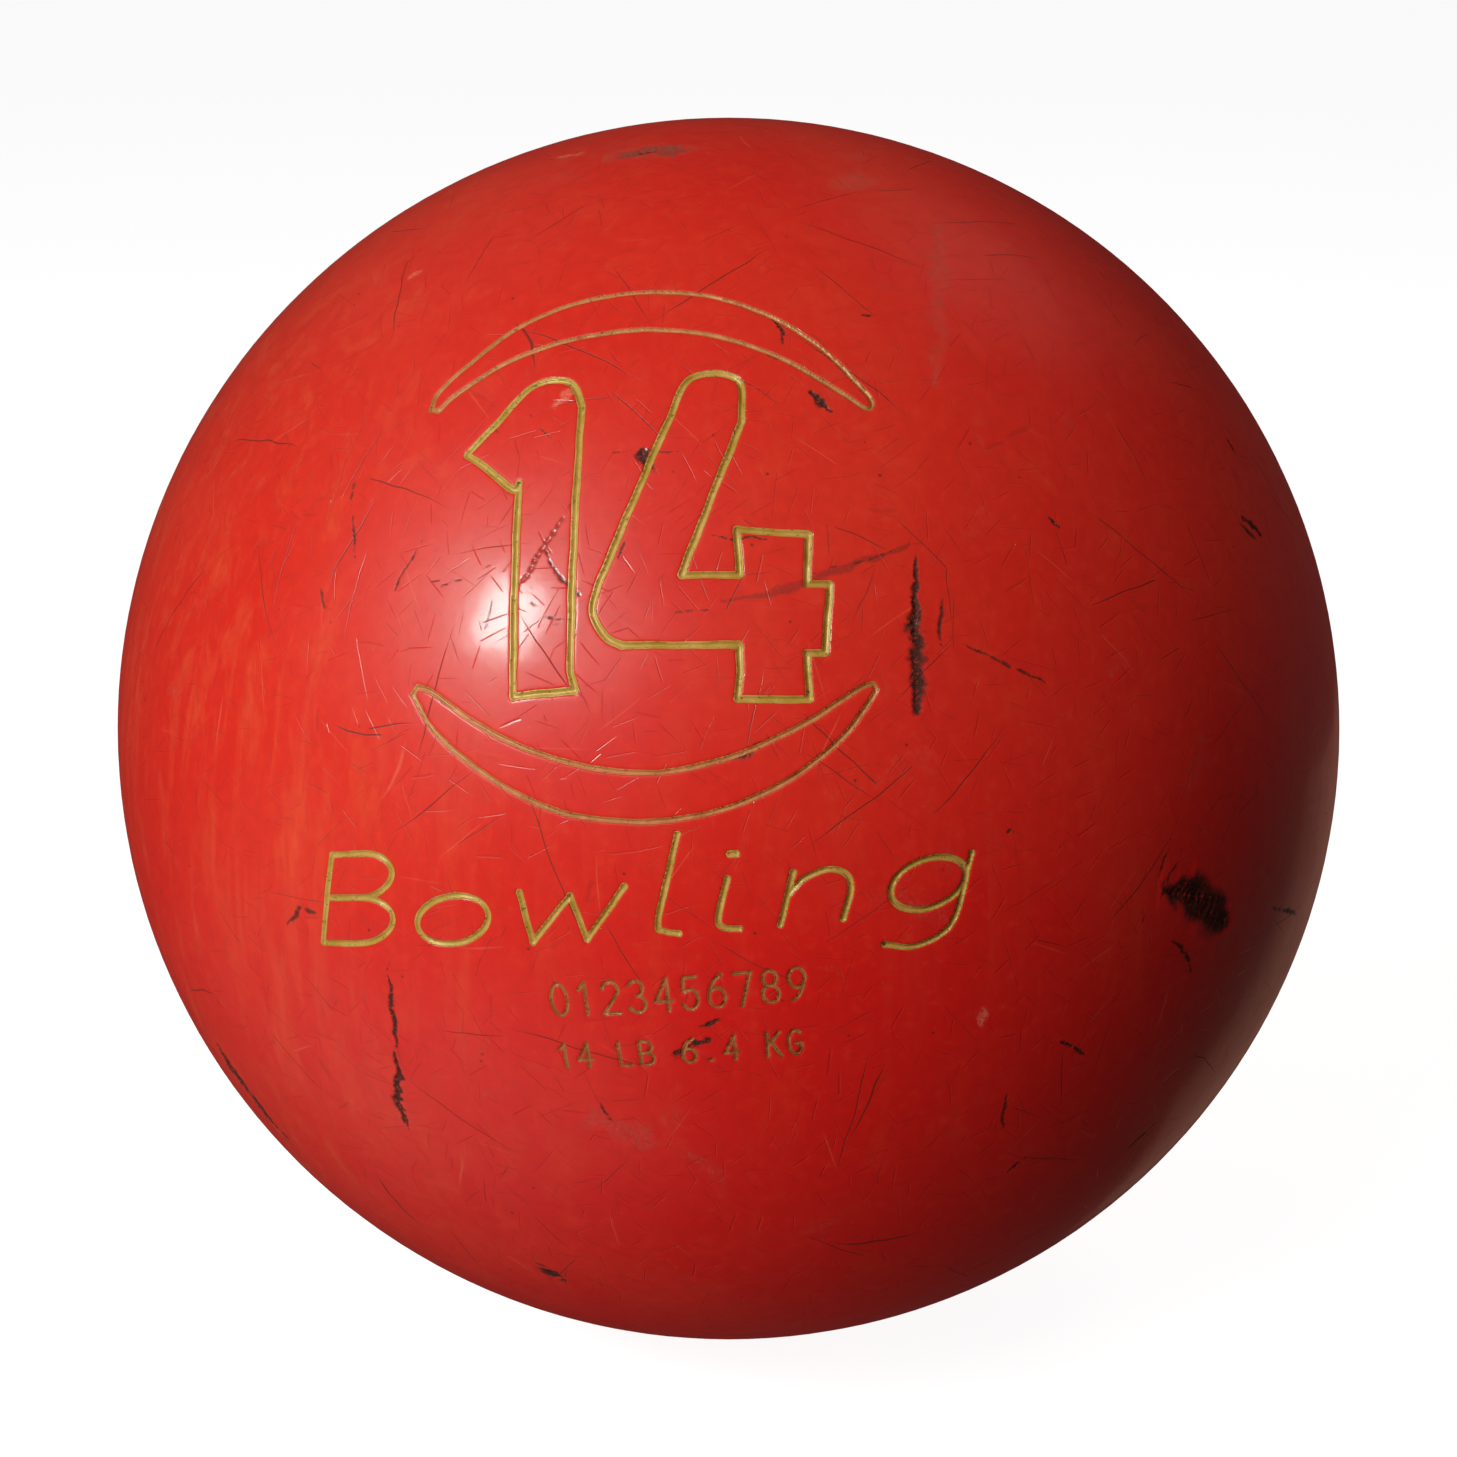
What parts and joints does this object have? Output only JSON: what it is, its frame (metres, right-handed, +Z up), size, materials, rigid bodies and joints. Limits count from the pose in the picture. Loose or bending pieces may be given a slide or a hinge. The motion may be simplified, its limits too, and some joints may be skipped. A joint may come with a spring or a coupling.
{
  "type": "bowling ball",
  "caption": "Used fourteen pound ten-pin bowling ball, red cover with an engraved gold label, drilled with two finger holes and a thumb hole.",
  "frame": {"origin": "centre of the ball", "axes": "+Y along both finger holes, out of their mouths; +Z up, with the thumb hole between +Y and +Z, 64 degrees up from +Y; the engraved label faces -Y, tilted up 20 degrees; -Z is where the ball rests in a rack cup"},
  "size_m": [0.217, 0.217, 0.217],
  "materials": {
    "cover_red": "gloss",
    "filler_grey": "matte",
    "block_brown": "matte",
    "pin_cream": "gloss",
    "label_gold": "satin"
  },
  "bodies": {
    "root": {"coverstock": "cover_red", "outer_core": "filler_grey", "weight_block": "block_brown", "locator_pin": "pin_cream", "numeral_1_paint": "label_gold", "numeral_4_paint": "label_gold", "upper_crescent_paint": "label_gold", "lower_crescent_paint": "label_gold", "word_b_paint": "label_gold", "word_o_paint": "label_gold", "word_w_paint": "label_gold", "word_l_paint": "label_gold", "word_i_paint": "label_gold", "word_dot_paint": "label_gold", "word_n_paint": "label_gold", "word_g_paint": "label_gold", "serial_line_mark_1_paint": "label_gold", "serial_line_mark_2_paint": "label_gold", "serial_line_mark_3_paint": "label_gold", "serial_line_mark_4_paint": "label_gold", "serial_line_mark_5_paint": "label_gold", "serial_line_mark_6_paint": "label_gold", "serial_line_mark_7_paint": "label_gold", "serial_line_mark_8_paint": "label_gold", "serial_line_mark_9_paint": "label_gold", "serial_line_mark_10_paint": "label_gold", "weight_line_mark_1_paint": "label_gold", "weight_line_mark_2_paint": "label_gold", "weight_line_mark_4_paint": "label_gold", "weight_line_mark_5_paint": "label_gold", "weight_line_mark_7_paint": "label_gold", "weight_line_mark_8_paint": "label_gold", "weight_line_mark_9_paint": "label_gold", "weight_line_mark_11_paint": "label_gold", "weight_line_mark_12_paint": "label_gold"}
  },
  "joints": []
}
